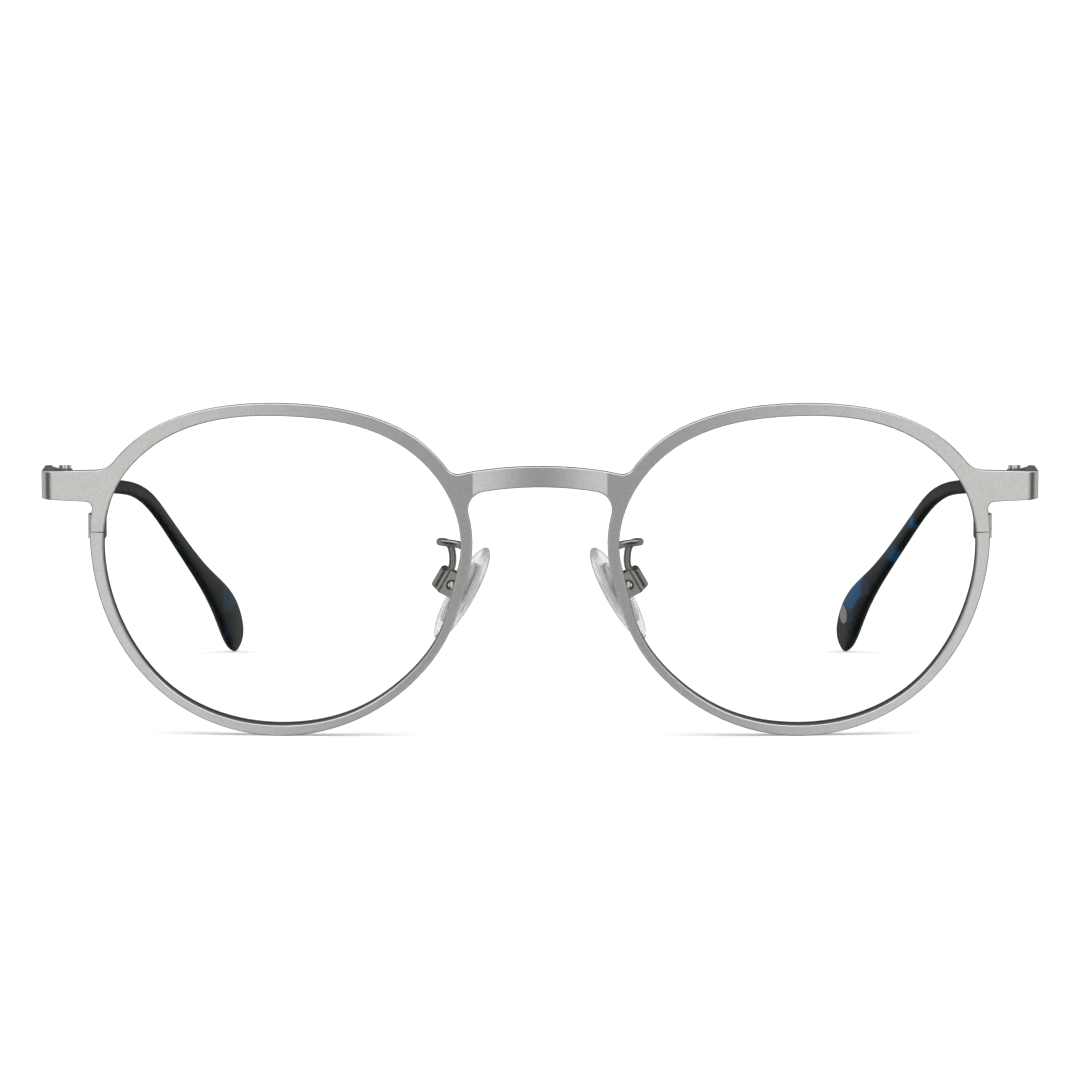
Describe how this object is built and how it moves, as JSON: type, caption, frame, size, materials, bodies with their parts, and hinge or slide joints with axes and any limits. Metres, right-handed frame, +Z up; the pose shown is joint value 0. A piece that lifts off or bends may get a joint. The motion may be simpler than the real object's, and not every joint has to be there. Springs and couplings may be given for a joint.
{
  "type": "eyeglasses",
  "caption": "Round metal eyeglasses: stamped front, grooved eyewires holding clear lenses, rocking nose pads on wire arms, and folding temples with mottled acetate tips.",
  "frame": {"origin": "on the surface that the pair stands on, under the centre of its bounding box; it stands on the bottoms of its rims and on its temple tips", "axes": "+X to the wearer's left, +Y backwards along the temples, +Z up; the front faces -Y and leans 4.7 degrees forward"},
  "size_m": [0.1348, 0.1424, 0.0451],
  "materials": {
    "satin_metal_front": "fine bead-blasted satin, gunmetal silver",
    "satin_metal_eyewire": "satin, gunmetal silver",
    "satin_metal_lock": "satin, gunmetal silver",
    "satin_metal_temple": "fine bead-blasted satin, gunmetal silver",
    "hinge_metal": "satin",
    "pad_metal": "satin, drawn wire and folded clip",
    "screw_steel": "polished screw heads",
    "plaque_metal": "plain polished inlay, no mark",
    "lens": "clear, untinted",
    "clear_silicone": "clear soft silicone",
    "insert_plastic": "clear stiff core",
    "mottled_acetate": "polished acetate, near-black with deep blue mottling"
  },
  "bodies": {
    "front": {"front_plate": "satin_metal_front", "eyewire_left": "satin_metal_eyewire", "lens_left": "lens", "rim_lock_upper_left": "satin_metal_lock", "rim_lock_lower_left": "satin_metal_lock", "rim_lock_screw_left": "screw_steel", "pad_arm_left": "pad_metal", "pad_box_left": "pad_metal", "pad_screw_left": "screw_steel", "hinge_front_leaf_left": "hinge_metal", "hinge_screw_left": "screw_steel", "eyewire_right": "satin_metal_eyewire", "lens_right": "lens", "rim_lock_upper_right": "satin_metal_lock", "rim_lock_lower_right": "satin_metal_lock", "rim_lock_screw_right": "screw_steel", "pad_arm_right": "pad_metal", "pad_box_right": "pad_metal", "pad_screw_right": "screw_steel", "hinge_front_leaf_right": "hinge_metal", "hinge_screw_right": "screw_steel"},
    "temple_left_body": {"temple_left": "satin_metal_temple", "temple_tip_left": "mottled_acetate", "hinge_temple_leaf_left": "hinge_metal", "tip_plaque_left": "plaque_metal"},
    "pad_left_body": {"pad_insert_left": "insert_plastic", "nose_pad_left": "clear_silicone"},
    "temple_right_body": {"temple_right": "satin_metal_temple", "temple_tip_right": "mottled_acetate", "hinge_temple_leaf_right": "hinge_metal"},
    "pad_right_body": {"pad_insert_right": "insert_plastic", "nose_pad_right": "clear_silicone"}
  },
  "joints": [
    {"name": "right_temple_fold", "type": "hinge", "parent": "front", "child": "temple_right_body", "pos_m": [-0.0646, -0.05742, 0.03419], "axis": [-0.0209, 0.065, 0.9977], "range_deg": [-82, 0]},
    {"name": "left_temple_fold", "type": "hinge", "parent": "front", "child": "temple_left_body", "pos_m": [0.0646, -0.05742, 0.03419], "axis": [-0.0209, 0.065, 0.9977], "range_deg": [0, 82]},
    {"name": "right_pad_rock", "type": "hinge", "parent": "front", "child": "pad_right_body", "pos_m": [-0.0124, -0.05899, 0.02031], "axis": [-0.2962, 0.9224, 0.2478], "range_deg": [-8, 8]},
    {"name": "left_pad_rock", "type": "hinge", "parent": "front", "child": "pad_left_body", "pos_m": [0.0124, -0.05899, 0.02031], "axis": [0.2962, 0.9224, 0.2478], "range_deg": [-8, 8]}
  ]
}
